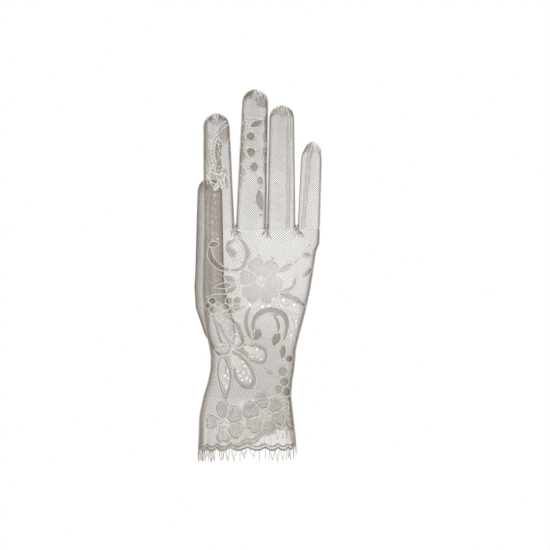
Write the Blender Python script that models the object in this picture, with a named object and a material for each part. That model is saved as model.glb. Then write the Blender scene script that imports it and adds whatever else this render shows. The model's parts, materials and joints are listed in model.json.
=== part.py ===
"""Lace wedding glove for a right hand, held open as a hand fills it.

The fingers point to +Z, the back of the hand faces -Y and the palm faces +Y. The origin is on the
forearm's axis at the height of the hem. Every size below is in millimetres, and every mesh is made
in metres.

The glove is one hollow skin, made as the union of a sleeve, four fingers and a thumb less the same
shapes one wall smaller. The skin is then cut into the pieces that move against each other. At each
joint a wedge is left free, so that the finger can fold, and a soft gusset fills that wedge.
"""

import math

import bmesh
import bpy
from mathutils import Matrix, Vector

MM = 0.001

# The skin
WALL = 0.8  # net, raised cord and seam allowance together
CLEARANCE = 0.3  # between two pieces that lie side by side
HINGE_GAP = 0.25  # on each side of a hinge's axis, between the two pieces it joins
FOLD_MARGIN = 2.0  # degrees that a wedge is wider than the fold it leaves room for
FINGER_SIDES = 16
SLEEVE_SIDES = 32
SCALLOPS = 20
CUFF_SIDES = 3 * SCALLOPS  # three corners to a scallop
SQUARENESS = 2.3  # of the sleeve's cross-section, where 2 is an ellipse

# The cuff, from the hem up to the wrist: height, left edge, right edge, half the depth
HEM_HEIGHT = 1.6
CUFF_SECTIONS = (
    (-16.0, -34.8, 27.0, 24.0),
    (0.0, -34.4, 26.0, 23.2),
    (22.0, -33.6, 23.6, 21.6),
    (34.0, -31.0, 22.3, 20.0),
    (43.0, -28.2, 23.0, 18.8),
)
WRIST_HEIGHT = 54.0
WRIST_SECTION = (-26.0, 24.8, 18.0)
HEM_RISE = 14.4  # how far the hem climbs on the back of the hand, towards its right
HEM_RISE_TURN = 40.0  # degrees from the right side to where it is highest
SCALLOP_DEPTH = 2.2
EDGE_BAND = 3.2  # height of the corded edge
FRINGE_LENGTH = 7.5
FRINGE_THICKNESS = 0.6

# The hand, from the wrist up to the webs: share of the way, left edge, right edge, half the depth
WEB_HEIGHT = 135.0
HAND_SECTIONS = (
    (0.10, -27.0, 25.1, 17.4),
    (0.20, -28.6, 26.9, 16.8),
    (0.37, -30.9, 30.6, 15.4),
    (0.55, -31.8, 33.9, 14.2),
    (0.70, -31.6, 35.9, 13.3),
    (0.85, -31.1, 37.4, 12.2),
)
ROW_LEFT = -30.9  # the index finger's outer side
WEB_GAP = 1.2  # between two fingers, where they leave the hand
WEB_REACH = 1.3  # how far a web's gusset runs inside a finger's wall
WEB_DROP = 5.5
WEB_RISE = 2.8
SHOULDER = ((-5.0, 0.0, 10.6), (-1.6, 0.6, 9.0), (0.0, 1.4, 6.6), (0.7, 3.0, 3.6))

# The fingers. A joint's place is its distance above the web.
# name, width at the web and at the tip, length, lean to the right, joints, fold of knuckle and middle
FINGERS = (
    ("index", 18.4, 15.6, 74.0, -1.6, (6.0, 31.0, 53.0), (50.0, 75.0)),
    ("middle", 18.2, 15.4, 89.0, 1.9, (6.0, 35.0, 61.0), (70.0, 85.0)),
    ("ring", 17.4, 15.0, 79.0, 0.3, (6.0, 32.0, 56.0), (70.0, 85.0)),
    ("little", 13.4, 12.4, 56.5, 2.2, (5.0, 23.0, 39.5), (70.0, 85.0)),
)
SEGMENTS = ("root", "middle", "tip")
FINGER_FLATNESS = 0.94  # depth over width
FINGER_CURVE = 5.0  # how far a fingertip leans towards the palm
FINGER_ROOT = (16.0, 0.6)  # how far a finger's tube runs down inside the hand, and its share of the width there
TIP_ROUND = 7.5
END_RATIO = 0.55  # the end joint's turn for each turn of the middle joint

# The thumb: distance along it, offset towards its pulp, half the width
THUMB_BASE = (-28.0, 16.0, 80.0)
THUMB_TILT = 28.0  # degrees from upright, away from the palm
THUMB_LENGTH = 100.0
THUMB_SECTIONS = (
    (-26.0, 13.0, 6.5),
    (-8.0, 7.0, 10.0),
    (10.0, 2.0, 10.4),
    (24.0, 0.0, 9.3),
    (45.0, 0.0, 8.7),
    (70.0, 0.0, 8.3),
)
THUMB_TIP_WIDTH = 15.4
THUMB_JOINTS = (27.0, 70.0)
THUMB_SPREAD = (15.0, 40.0)  # degrees inwards and outwards
THUMB_FOLD = 60.0

WRIST_FOLD = (40.0, 50.0)  # degrees back and towards the palm

REACH = 60.0  # how far a cutter runs past what it cuts
SAME_PLACE = 0.002  # vertices nearer than this are one

LACE = (0.83, 0.79, 0.74, 1.0)
CORD = (0.88, 0.85, 0.81, 1.0)
STRETCH_NET = (0.74, 0.70, 0.65, 1.0)
FRINGE = (0.86, 0.82, 0.77, 1.0)


def clear_scene():
    for obj in list(bpy.data.objects):
        bpy.data.objects.remove(obj)


def material(name, colour):
    made = bpy.data.materials.new(name)
    made.use_nodes = True
    shader = made.node_tree.nodes["Principled BSDF"]
    shader.inputs["Base Color"].default_value = colour
    shader.inputs["Roughness"].default_value = 0.8
    shader.inputs["Metallic"].default_value = 0.0
    made.diffuse_color = colour
    return made


def scene_object(name, mesh):
    obj = bpy.data.objects.new(name, mesh)
    bpy.context.scene.collection.objects.link(obj)
    return obj


def helper(name, bm):
    """A cutter or a construction shape, which is removed at the end."""
    bmesh.ops.recalc_face_normals(bm, faces=bm.faces)
    if bm.calc_volume(signed=True) < 0:
        bmesh.ops.reverse_faces(bm, faces=bm.faces)
    mesh = bpy.data.meshes.new(name)
    bm.to_mesh(mesh)
    bm.free()
    obj = scene_object("helper_" + name, mesh)
    obj.hide_render = True
    obj.display_type = "WIRE"
    return obj


def skin_of(rings, name):
    """A closed tube through rings of points, in millimetres, capped at both ends."""
    bm = bmesh.new()
    loops = []
    for ring in rings:
        verts = [bm.verts.new(Vector(point) * MM) for point in ring]
        loops.append([bm.edges.new((verts[k - 1], verts[k])) for k in range(len(verts))])
    for below, above in zip(loops, loops[1:]):
        bmesh.ops.bridge_loops(bm, edges=below + above)
    bmesh.ops.contextual_create(bm, geom=loops[0])
    bmesh.ops.contextual_create(bm, geom=loops[-1])
    return helper(name, bm)


def oval(left, right, half_depth, z, inset, sides=SLEEVE_SIDES):
    """Points round the sleeve, from the right side by way of the palm."""
    centre, across = (left + right) / 2, (right - left) / 2 - inset
    deep = half_depth - inset
    points = []
    for k in range(sides):
        turn = 2 * math.pi * k / sides
        x, y = (
            math.copysign(abs(side) ** (2 / SQUARENESS), side)
            for side in (math.cos(turn), math.sin(turn))
        )
        points.append((centre + across * x, deep * y, z))
    return points


def hem(turn):
    """The height of the scalloped hem at an angle round the cuff."""
    rise = HEM_RISE * max(0.0, math.cos(turn + math.radians(HEM_RISE_TURN))) ** 3
    return HEM_HEIGHT + rise - SCALLOP_DEPTH * abs(math.sin(SCALLOPS * turn / 2))


def cuff_section(z):
    """(left, right, half depth) of the cuff at height z."""
    table = (*CUFF_SECTIONS, (WRIST_HEIGHT, *WRIST_SECTION))
    for low, high in zip(table, table[1:]):
        if z <= high[0]:
            share = max(0.0, (z - low[0]) / (high[0] - low[0]))
            return [a + (b - a) * share for a, b in zip(low[1:], high[1:])]
    return list(WRIST_SECTION)


def cuff_ring(height_above_hem, inset):
    """A ring of the cuff that follows the scallops."""
    points = []
    for k in range(CUFF_SIDES):
        z = hem(2 * math.pi * k / CUFF_SIDES) + height_above_hem
        points.append(oval(*cuff_section(z), z, inset, CUFF_SIDES)[k])
    return points


def row_right():
    """The little finger's outer side."""
    return ROW_LEFT + sum(f[1] for f in FINGERS) + WEB_GAP * (len(FINGERS) - 1)


def sleeve(inset, name):
    """Cuff and hand in one, from below the hem to the rounded top between the fingers."""
    rings = []
    for z, *sides in CUFF_SECTIONS:
        rings.append(oval(*sides, z - inset if z == CUFF_SECTIONS[0][0] else z, inset))
    rings.append(oval(*WRIST_SECTION, WRIST_HEIGHT, inset))
    for share, left, right, deep in HAND_SECTIONS:
        z = WRIST_HEIGHT + share * (WEB_HEIGHT - WRIST_HEIGHT)
        rings.append(oval(left, right, deep, z, inset))
    for above, narrower, deep in SHOULDER:
        left, right = ROW_LEFT + narrower, row_right() - narrower
        rings.append(oval(left, right, deep, WEB_HEIGHT + above - inset, inset))
    return skin_of(rings, name)


def rounded(length, shares=(0.45, 0.75, 0.93, 0.99)):
    """(distance along, share of the width) of the rounded end of a tube of that length."""
    start = length - TIP_ROUND
    return [(start + TIP_ROUND * s, math.sqrt(1 - s * s)) for s in shares]


def tube(sections, frame, inset, name):
    """A finger's tube through (distance along, offset towards the pulp, half width, half depth)."""
    rings = []
    for along, offset, wide, deep in sections:
        ring = []
        for k in range(FINGER_SIDES):
            turn = 2 * math.pi * (k + 0.5) / FINGER_SIDES
            x = max(wide - inset, 0.4) * math.cos(turn)
            y = offset + max(deep - inset, 0.4) * math.sin(turn)
            ring.append(frame @ Vector((x, y, along)))
        rings.append(ring)
    return skin_of(rings, name)


def finger_frame(index):
    """The matrix from a finger's own axes, with Z along it and Y towards its pulp, to the glove's, in millimetres."""
    widths = [f[1] for f in FINGERS]
    x = ROW_LEFT + sum(widths[:index]) + WEB_GAP * index + widths[index] / 2
    lean = Matrix.Rotation(math.radians(FINGERS[index][4]), 4, "Y")
    return Matrix.Translation((x, 0, WEB_HEIGHT)) @ lean


def finger_offset(index, along):
    """How far the finger's middle line is towards the palm, at a distance above the web."""
    return FINGER_CURVE * (max(along, 0.0) / FINGERS[index][3]) ** 2


def finger_sections(index, inset):
    name, base, tip, length, *_ = FINGERS[index]
    length -= inset
    straight = length - TIP_ROUND
    root, narrow = FINGER_ROOT
    stations = [(-root, narrow), *((straight * s, 1.0) for s in (0.0, 0.3, 0.6, 1.0))]
    sections = []
    for along, share in stations + rounded(length):
        width = base + (tip - base) * min(max(along, 0.0) / straight, 1.0)
        half = width / 2 * share
        sections.append((along, finger_offset(index, along), half, half * FINGER_FLATNESS))
    return sections


def thumb_frame():
    """The thumb's own axes: Z along it, and Y towards its pulp, which faces the palm's middle."""
    tilt = math.radians(THUMB_TILT)
    along = Vector((0, math.sin(tilt), math.cos(tilt)))
    pulp = Vector((1, 0, 0))
    turn = Matrix((pulp.cross(along), pulp, along)).transposed().to_4x4()
    return Matrix.Translation(THUMB_BASE) @ turn


def thumb_sections(inset):
    sections = [(along, offset, half, half) for along, offset, half in THUMB_SECTIONS]
    length = THUMB_LENGTH - inset
    half = THUMB_TIP_WIDTH / 2
    sections.append((length - TIP_ROUND, 0.0, half, half))
    sections += [(along, 0.0, half * share, half * share) for along, share in rounded(length)]
    return sections


def without_slivers(mesh):
    """Merges the vertices that a Boolean left closer than anything here is meant to be."""
    bm = bmesh.new()
    bm.from_mesh(mesh)
    bmesh.ops.remove_doubles(bm, verts=bm.verts, dist=SAME_PLACE * MM)
    bm.to_mesh(mesh)
    bm.free()


def boolean(body, operation, *tools):
    """A new object: body after a Boolean with each tool in turn. The tools stay."""
    made = scene_object("helper_" + operation.lower(), body.data.copy())
    made.hide_render = True
    for tool in tools:
        step = made.modifiers.new("step", "BOOLEAN")
        step.object, step.operation, step.solver = tool, operation, "EXACT"
        graph = bpy.context.evaluated_depsgraph_get()
        mesh = bpy.data.meshes.new_from_object(made.evaluated_get(graph))
        made.modifiers.remove(step)
        without_slivers(mesh)
        made.data = mesh
    return made


def prism(outline, frame, half_width, name):
    """An outline of (towards the pulp, along) points, made solid half_width to each side of its plane."""
    bm = bmesh.new()
    face = bm.faces.new([bm.verts.new((-half_width, y, z)) for y, z in outline])
    pushed = bmesh.ops.extrude_face_region(bm, geom=[face])["geom"]
    verts = [g for g in pushed if isinstance(g, bmesh.types.BMVert)]
    bmesh.ops.translate(bm, verts=verts, vec=(2 * half_width, 0, 0))
    bmesh.ops.transform(bm, matrix=Matrix.Scale(MM, 4) @ frame, verts=bm.verts)
    return helper(name, bm)


def column(index, widen):
    """The space that belongs to one finger: between the lines half way to its neighbours."""
    corners = []
    for side, neighbour in ((-1, index - 1), (1, index + 1)):
        frame = finger_frame(index)
        edge = side * (FINGERS[index][1] + WEB_GAP) / 2
        slope = math.tan(math.radians(FINGERS[index][4]))
        if 0 <= neighbour < len(FINGERS):
            slope = (slope + math.tan(math.radians(FINGERS[neighbour][4]))) / 2
        else:
            edge += side * WEB_GAP * 4
        x = frame.translation.x + edge + side * widen
        low, high = -2 * FINGER_ROOT[0], FINGERS[index][3] + TIP_ROUND
        corners.append([(x + slope * z, WEB_HEIGHT + z) for z in (low, high)])
    left, right = corners
    outline = [left[0], right[0], right[1], left[1]]
    upright = Matrix.Rotation(math.radians(90), 4, "Z")
    turned = [(-x, z) for x, z in outline]
    return prism(turned, upright, FINGERS[index][1] * 1.2, "column")


def fold(joint_place, offset, back, pulp):
    """A joint: its distance along, its offset, and the half angles of its wedges."""
    return {
        "along": joint_place,
        "offset": offset,
        "back": math.tan(math.radians(back / 2 + FOLD_MARGIN)) if back else 0.0,
        "pulp": math.tan(math.radians(pulp / 2 + FOLD_MARGIN)) if pulp else 0.0,
    }


def edge_at(joint, side, y, sign):
    """Where a piece ends at distance y from the joint's axis. sign is 1 above the joint and -1 below."""
    slope = joint["pulp"] if side > 0 else joint["back"]
    return joint["along"] + sign * (HINGE_GAP + abs(y) * slope)


def half_outline(low, high, side, length, reach):
    """The outline of one panel, back (-1) or pulp (1), between the joints low and high."""
    near, far = side * CLEARANCE / 2, side * reach
    top = length + REACH
    start, end = low["offset"], (high or low)["offset"]
    outline = [
        (start + near, edge_at(low, side, near, 1)),
        (start + far, edge_at(low, side, far, 1)),
    ]
    if high is None:
        return outline + [(start + far, top), (start + near, top)]
    return outline + [
        (end + far, edge_at(high, side, far, -1)),
        (end + near, edge_at(high, side, near, -1)),
    ]


def gusset_outline(joint, side, reach):
    """The soft wedge at a joint, clear of the two pieces that fold over it."""
    slope = joint["pulp"] if side > 0 else joint["back"]
    first = (CLEARANCE + 0.5) / slope
    outline = []
    for distance, sign in ((first, -1), (reach, -1), (reach, 1), (first, 1)):
        half = HINGE_GAP + distance * slope - CLEARANCE
        outline.append((joint["offset"] + side * distance, joint["along"] + sign * half))
    return outline


def above_joint(joint, length, reach):
    """The outline of everything above a joint's lower edges."""
    far = reach
    start = joint["offset"]
    return [
        (start - far, edge_at(joint, -1, far, -1)),
        (start, joint["along"] - HINGE_GAP),
        (start + far, edge_at(joint, 1, far, -1)),
        (start + far, length + REACH),
        (start - far, length + REACH),
    ]


def piece(name, made, parent, look):
    """Gives a finished solid its name, its place under the body's empty and its material."""
    mesh = made.data.copy()
    mesh.materials.clear()
    mesh.materials.append(look)
    mesh.transform(parent.matrix_world.inverted())
    obj = scene_object(name, mesh)
    obj.parent = parent
    mesh.shade_smooth()
    mesh.set_sharp_from_angle(angle=math.radians(35))
    return obj


def body_empty(name, frame, place, parent=None):
    """An empty on a joint's axis, whose X axis is the axis of the hinge."""
    world = frame @ Matrix.Translation(place)
    world.translation *= MM
    empty = bpy.data.objects.new("body_" + name, None)
    bpy.context.scene.collection.objects.link(empty)
    empty.empty_display_size = 10 * MM
    empty.parent = parent
    empty.matrix_world = world
    if parent:
        empty.matrix_parent_inverse = Matrix.Identity(4)
        empty.matrix_basis = parent.matrix_world.inverted() @ world
    bpy.context.view_layer.update()
    return empty


def finger_joints(index):
    name, _, _, _, _, places, (knuckle, middle) = FINGERS[index]
    folds = (knuckle, middle, middle * END_RATIO)
    return [fold(s, finger_offset(index, s), 0.0, f) for s, f in zip(places, folds)]


def thumb_joints():
    inwards, outwards = THUMB_SPREAD
    return [fold(THUMB_JOINTS[0], 0.0, outwards, inwards), fold(THUMB_JOINTS[1], 0.0, 0.0, THUMB_FOLD)]


def cutter_reach(sections):
    """How far a digit's cutters run to each side of its middle line: just past its skin."""
    return max(section[2] for section in sections) + 2.0


def digit_pieces(name, whole, frame, joints, sections, segments, sides, hand, looks):
    """The panels and gussets of a finger or a thumb, from its joints and the part of the skin it owns."""
    lace, stretch = looks
    parent = hand
    reach = cutter_reach(sections)
    for k, (segment, joint) in enumerate(zip(segments, joints)):
        below = parent
        parent = body_empty(f"{name}_{segment}", frame, (0, joint["offset"], joint["along"]), below)
        high = joints[k + 1] if k + 1 < len(joints) else None
        for side, word in sides:
            outline = half_outline(joint, high, side, sections[-1][0], reach)
            cutter = prism(outline, frame, reach, "panel")
            piece(f"{name}_{segment}_{word}", boolean(whole, "INTERSECT", cutter), parent, lace)
        for side, word in sides:
            if joint["pulp" if side > 0 else "back"]:
                cutter = prism(gusset_outline(joint, side, reach), frame, reach, "gusset")
                made = boolean(whole, "INTERSECT", cutter)
                piece(f"{name}_{segment}_gusset_{word}", made, below, stretch)


def wall(rings, name):
    """A closed band through a cycle of rings, the outer ones going up and then the inner ones coming down."""
    bm = bmesh.new()
    loops = [[bm.verts.new(Vector(point) * MM) for point in ring] for ring in rings]
    for here, there in zip(loops, loops[1:] + loops[:1]):
        for k in range(len(here)):
            bm.faces.new((here[k - 1], here[k], there[k], there[k - 1]))
    return helper(name, bm)


def band(low, high, outer, inner, name):
    """A ring that follows the scallops, from low to high above the hem and from one inset to another."""
    corners = ((low, outer), (high, outer), (high, inner), (low, inner))
    return wall([cuff_ring(height, inset) for height, inset in corners], name)


def cuff_wall():
    """The cuff's skin, from the corded edge up to just past the wrist."""
    sides = []
    for inset in (0.0, WALL):
        rings = [cuff_ring(EDGE_BAND + 2 * CLEARANCE, inset)]
        for z, *section in (*CUFF_SECTIONS[2:], (WRIST_HEIGHT, *WRIST_SECTION)):
            rings.append(oval(*section, z, inset, CUFF_SIDES))
        sides.append(rings)
    return wall(sides[0] + sides[1][::-1], "cuff")


def wrist_cutters():
    """What is above the wrist, what is below it, and the soft wedge on each side."""
    back, palm = WRIST_FOLD
    joint = fold(WRIST_HEIGHT, 0.0, back, palm)
    far = REACH
    above, below = [], []
    for sign, outline, end in ((1, above, WEB_HEIGHT + 2 * REACH), (-1, below, -2 * REACH)):
        outline += [
            (-far, edge_at(joint, -1, far, sign)),
            (0.0, joint["along"] + sign * HINGE_GAP),
            (far, edge_at(joint, 1, far, sign)),
            (far, end),
            (-far, end),
        ]
    upright = Matrix.Identity(4)
    hand = prism(above, upright, 2 * REACH, "hand_side")
    cuff = prism(below, upright, 2 * REACH, "cuff_side")
    wedges = [
        prism(gusset_outline(joint, side, REACH / 2), upright, 2 * REACH, "wedge")
        for side in (-1, 1)
    ]
    return hand, cuff, wedges


def half_space(side):
    """Everything behind (-1) or in front of (1) the sleeve's middle plane, less half a clearance."""
    near, far = side * CLEARANCE / 2, side * 2 * REACH
    high = WEB_HEIGHT + 2 * REACH
    outline = [(near, -REACH), (far, -REACH), (far, high), (near, high)]
    return prism(outline, Matrix.Identity(4), 2 * REACH, "half")


def web_space(index, widen):
    """The five-sided space of the small gusset between a finger and the next one."""
    x = finger_frame(index).translation.x + (FINGERS[index][1] + WEB_GAP) / 2
    half = WEB_GAP / 2 + WALL + WEB_REACH + widen
    deep = SHOULDER[1][2] - 1.6 + widen
    outline = [
        (0.0, -WEB_DROP - 1.5 * widen),
        (half, -0.4),
        (half * 0.7, WEB_RISE + widen),
        (-half * 0.7, WEB_RISE + widen),
        (-half, -0.4),
    ]
    turn = Matrix.Rotation(math.radians(90), 4, "Z")
    return prism(outline, Matrix.Translation((x, 0, WEB_HEIGHT)) @ turn, deep, "web")


def build():
    clear_scene()
    lace = material("floral_lace", LACE)
    cord = material("edge_cord", CORD)
    stretch = material("stretch_net", STRETCH_NET)
    fringe = material("eyelash_thread", FRINGE)
    looks = (lace, stretch)

    skins = []
    for inset in (0.0, WALL):
        parts = [
            tube(finger_sections(k, inset), finger_frame(k), inset, "finger")
            for k in range(len(FINGERS))
        ]
        parts.append(tube(thumb_sections(inset), thumb_frame(), inset, "thumb"))
        skins.append(boolean(sleeve(inset, "sleeve"), "UNION", *parts))
    skin = boolean(skins[0], "DIFFERENCE", skins[1])

    above_wrist, below_wrist, wedges = wrist_cutters()
    cuff_body = body_empty("cuff", Matrix.Identity(4), (0, 0, 0))
    hand_body = body_empty("hand", Matrix.Identity(4), (0, 0, WRIST_HEIGHT), cuff_body)

    hand = boolean(skin, "INTERSECT", above_wrist)
    for k in range(len(FINGERS)):
        name, _, _, length, *_ = FINGERS[k]
        joints = finger_joints(k)
        owned = boolean(hand, "INTERSECT", column(k, -CLEARANCE / 2))
        frame = finger_frame(k)
        panels = ((-1, "back"), (1, "palm"))
        sections = finger_sections(k, 0.0)
        digit_pieces(name, owned, frame, joints, sections, SEGMENTS, panels, hand_body, looks)
        above = prism(above_joint(joints[0], length, REACH / 3), frame, REACH, "above")
        hand = boolean(hand, "DIFFERENCE", boolean(column(k, CLEARANCE), "INTERSECT", above))

    frame, joints = thumb_frame(), thumb_joints()
    sections = thumb_sections(0.0)
    reach = cutter_reach(sections)
    beside = prism(above_joint(joints[0], THUMB_LENGTH, reach), frame, reach, "thumb_side")
    owned = boolean(skin, "INTERSECT", beside)
    panels = ((-1, "outer"), (1, "inner"))
    digit_pieces(
        "thumb", owned, frame, joints, sections, ("root", "tip"), panels, hand_body, looks
    )
    hand = boolean(hand, "DIFFERENCE", beside)

    for k in range(len(FINGERS) - 1):
        name = f"web_gusset_{FINGERS[k][0]}_{FINGERS[k + 1][0]}"
        piece(name, boolean(hand, "INTERSECT", web_space(k, 0.0)), hand_body, stretch)
        hand = boolean(hand, "DIFFERENCE", web_space(k, CLEARANCE))

    cuff = boolean(cuff_wall(), "INTERSECT", below_wrist)
    for side, word in ((-1, "back"), (1, "palm")):
        half = half_space(side)
        piece(f"hand_{word}_panel", boolean(hand, "INTERSECT", half), hand_body, lace)
        piece(f"cuff_{word}_panel", boolean(cuff, "INTERSECT", half), cuff_body, lace)
    for wedge, word in zip(wedges, ("back", "palm")):
        piece(f"wrist_gusset_{word}", boolean(skin, "INTERSECT", wedge), cuff_body, stretch)

    edge = band(0.0, EDGE_BAND, 0.0, WALL, "edge")
    piece("scalloped_edge", edge, cuff_body, cord)
    inset = (WALL - FRINGE_THICKNESS) / 2
    lashes = band(-FRINGE_LENGTH, -CLEARANCE, inset, WALL - inset, "fringe")
    piece("eyelash_fringe", lashes, cuff_body, fringe)

    for obj in [o for o in bpy.data.objects if o.name.startswith("helper_")]:
        bpy.data.objects.remove(obj)


build()
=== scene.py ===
# %% [markdown]
# # A lace wedding glove
#
# The glove is worn open, so its CAD skin is the shape that a hand gives it. Real lace is almost all
# holes, so the visual model replaces that skin with threads: a diamond net, denser net inside each
# flower and leaf, and a raised cord round every outline. The frame comes first, because every
# thread lies on the skin that it replaces.

# %% Load the frame
import math
import random

import bmesh
import bpy
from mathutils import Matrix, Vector
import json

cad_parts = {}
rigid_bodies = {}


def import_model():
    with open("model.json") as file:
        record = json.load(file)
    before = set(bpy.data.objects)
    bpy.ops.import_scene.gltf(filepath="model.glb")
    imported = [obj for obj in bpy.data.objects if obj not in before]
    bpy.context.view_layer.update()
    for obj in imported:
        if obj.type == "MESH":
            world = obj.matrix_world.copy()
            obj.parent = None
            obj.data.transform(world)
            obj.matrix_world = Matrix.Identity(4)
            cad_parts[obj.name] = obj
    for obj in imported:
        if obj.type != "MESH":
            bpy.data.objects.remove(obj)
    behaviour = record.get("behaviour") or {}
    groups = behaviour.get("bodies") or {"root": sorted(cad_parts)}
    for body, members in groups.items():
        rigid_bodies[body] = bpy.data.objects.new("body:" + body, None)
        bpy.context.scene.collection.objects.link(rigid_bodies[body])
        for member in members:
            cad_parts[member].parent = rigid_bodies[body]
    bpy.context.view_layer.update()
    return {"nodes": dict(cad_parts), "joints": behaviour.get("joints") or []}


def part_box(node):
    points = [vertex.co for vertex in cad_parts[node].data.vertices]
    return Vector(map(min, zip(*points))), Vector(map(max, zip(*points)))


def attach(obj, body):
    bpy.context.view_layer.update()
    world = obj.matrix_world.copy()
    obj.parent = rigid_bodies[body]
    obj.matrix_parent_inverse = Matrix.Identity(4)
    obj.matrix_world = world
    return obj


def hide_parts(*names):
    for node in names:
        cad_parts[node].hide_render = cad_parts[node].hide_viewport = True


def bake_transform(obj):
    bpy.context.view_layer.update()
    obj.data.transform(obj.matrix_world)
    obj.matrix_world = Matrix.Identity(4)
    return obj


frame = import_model()
MM = 0.001
random.seed(7)

# %% [markdown]
# ## Camera and light
#
# A long lens a good way off keeps the fingers from leaning outwards. The glove is lit softly from
# all round, and the surroundings are brighter than the thread, whose net colour is darkened with
# painted shade, so the net reads as fine warm lines.

# %% Camera
FRAME_WIDTH = 0.341
DISTANCE = 6.0
MIDDLE_X, MIDDLE_Z = 0.0128, 0.1089
camera = bpy.data.cameras.new("camera")
camera.sensor_width = 36.0
camera.lens = camera.sensor_width * DISTANCE / FRAME_WIDTH
eye = bpy.data.objects.new("camera", camera)
bpy.context.scene.collection.objects.link(eye)
eye.location = (MIDDLE_X, -DISTANCE, MIDDLE_Z)
eye.rotation_euler = (math.radians(90), 0, 0)
bpy.context.scene.camera = eye


# %% Lights and surroundings
GLOVE_MIDDLE = Vector((0, 0, 0.11))


def new_object(name, data):
    obj = bpy.data.objects.new(name, data)
    bpy.context.scene.collection.objects.link(obj)
    return obj


def soft_light(name, place, size, power, colour):
    light = bpy.data.lights.new(name, "AREA")
    light.shape, light.size, light.energy, light.color = "DISK", size, power, colour
    obj = new_object(name, light)
    obj.location = place
    aim = GLOVE_MIDDLE - obj.location
    obj.rotation_euler = aim.to_track_quat("-Z", "Y").to_euler()


soft_light("key", (-0.7, -1.1, 1.0), 0.8, 11.0, (1.0, 0.97, 0.92))
soft_light("fill", (1.1, -0.8, 0.4), 1.0, 5.0, (1.0, 0.98, 0.95))
soft_light("rim", (0.5, 0.9, 0.9), 0.7, 4.0, (1.0, 0.98, 0.95))

world = bpy.data.worlds.new("studio")
bpy.context.scene.world = world
world.use_nodes = True
sky = world.node_tree.nodes["Background"]
sky.inputs["Color"].default_value = (1.0, 1.0, 1.0, 1.0)
sight = world.node_tree.nodes.new("ShaderNodeLightPath")
strength = world.node_tree.nodes.new("ShaderNodeMapRange")
strength.inputs["To Min"].default_value = 0.42  # as a light
strength.inputs["To Max"].default_value = 1.0  # as the backdrop
world.node_tree.links.new(sight.outputs["Is Camera Ray"], strength.inputs["Value"])
world.node_tree.links.new(strength.outputs["Result"], sky.inputs["Strength"])
bpy.context.scene.view_settings.view_transform = "Standard"

# %% [markdown]
# ## Shader maths
#
# Node trees are easier to read as expressions, so one small class wraps a socket and adds a Math
# node for each operator.


# %% A socket with operators
class Value:
    def __init__(self, tree, socket):
        self.tree, self.socket = tree, socket

    def maths(self, operation, other):
        node = self.tree.nodes.new("ShaderNodeMath")
        node.operation = operation
        for slot, side in zip(node.inputs, (self, other)):
            if isinstance(side, Value):
                self.tree.links.new(side.socket, slot)
            else:
                slot.default_value = side
        return Value(self.tree, node.outputs[0])

    def __add__(self, other):
        return self.maths("ADD", other)

    def __mul__(self, other):
        return self.maths("MULTIPLY", other)


class Finish:
    """A material whose nodes are added by type, settings, and the values or links of their sockets."""

    def __init__(self, name, **fixed):
        self.material = bpy.data.materials.new(name)
        self.material.use_nodes = True
        self.tree = self.material.node_tree
        self.shader = self.tree.nodes["Principled BSDF"]
        for socket, value in fixed.items():
            self.shader.inputs[socket.replace("_", " ")].default_value = value

    def node(self, kind, settings=None, out=0, **sockets):
        made = self.tree.nodes.new("ShaderNode" + kind)
        for key, value in (settings or {}).items():
            if key == "stops":
                for place, colour in zip(made.color_ramp.elements, value):
                    place.position, place.color = colour
            else:
                setattr(made, key, value)
        for key, value in sockets.items():
            socket = made.inputs[key.replace("_", " ")]
            if isinstance(value, Value):
                self.tree.links.new(value.socket, socket)
            else:
                socket.default_value = value
        return Value(self.tree, made.outputs[out])

    def feed(self, socket, value):
        self.tree.links.new(value.socket, self.shader.inputs[socket])


# %% [markdown]
# ## Thread
#
# The net is a matt yarn whose colour is painted shade: the lace's ivory, darkened to the warm tone it
# has in shade against a bright surround. The edge yarn of the hem and the fringe is the same ivory with
# painted shade, a little lighter. The outline cord is a twisted rayon yarn in the lace's own pale ivory,
# shinier, and ribbed along its length.


# %% Materials
def thread(name, dark, light, roughness, rib, sheen):
    """A yarn: two shades mixed by soft and fine noise, and a bump like the twist of its plies."""
    finish = Finish(name, Roughness=roughness, Sheen_Weight=sheen, Sheen_Roughness=0.4)
    place = finish.node("TexCoord", out=3)
    cloud = finish.node("TexNoise", Vector=place, Scale=90.0, Detail=2.0)
    fine = finish.node("TexNoise", Vector=place, Scale=1400.0, Detail=1.0)
    stops = ((0.36, dark), (0.64, light))
    finish.feed("Base Color", finish.node("ValToRGB", {"stops": stops}, Fac=cloud * 0.62 + fine * 0.38))
    diagonal = {"bands_direction": "DIAGONAL"}
    twist = finish.node("TexWave", diagonal, out=1, Vector=place, Scale=rib, Distortion=1.5)
    bump = finish.node("Bump", Strength=0.35, Distance=0.06 * MM, Height=twist + fine * 0.6)
    finish.feed("Normal", bump)
    uneven = finish.node("MapRange", Value=fine, To_Min=roughness - 0.08, To_Max=roughness + 0.1)
    finish.feed("Roughness", uneven)
    return finish.material


# The net's two colours are painted shade: the cord's ivory, darkened as the lace looks in shade.
NET_PAINTED_SHADE = thread("ivory_net", (0.34, 0.285, 0.23, 1), (0.47, 0.405, 0.34, 1), 0.72, 900.0, 0.2)
CORD = thread("rayon_cord", (0.84, 0.81, 0.77, 1), (0.97, 0.955, 0.93, 1), 0.42, 1300.0, 0.3)
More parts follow.
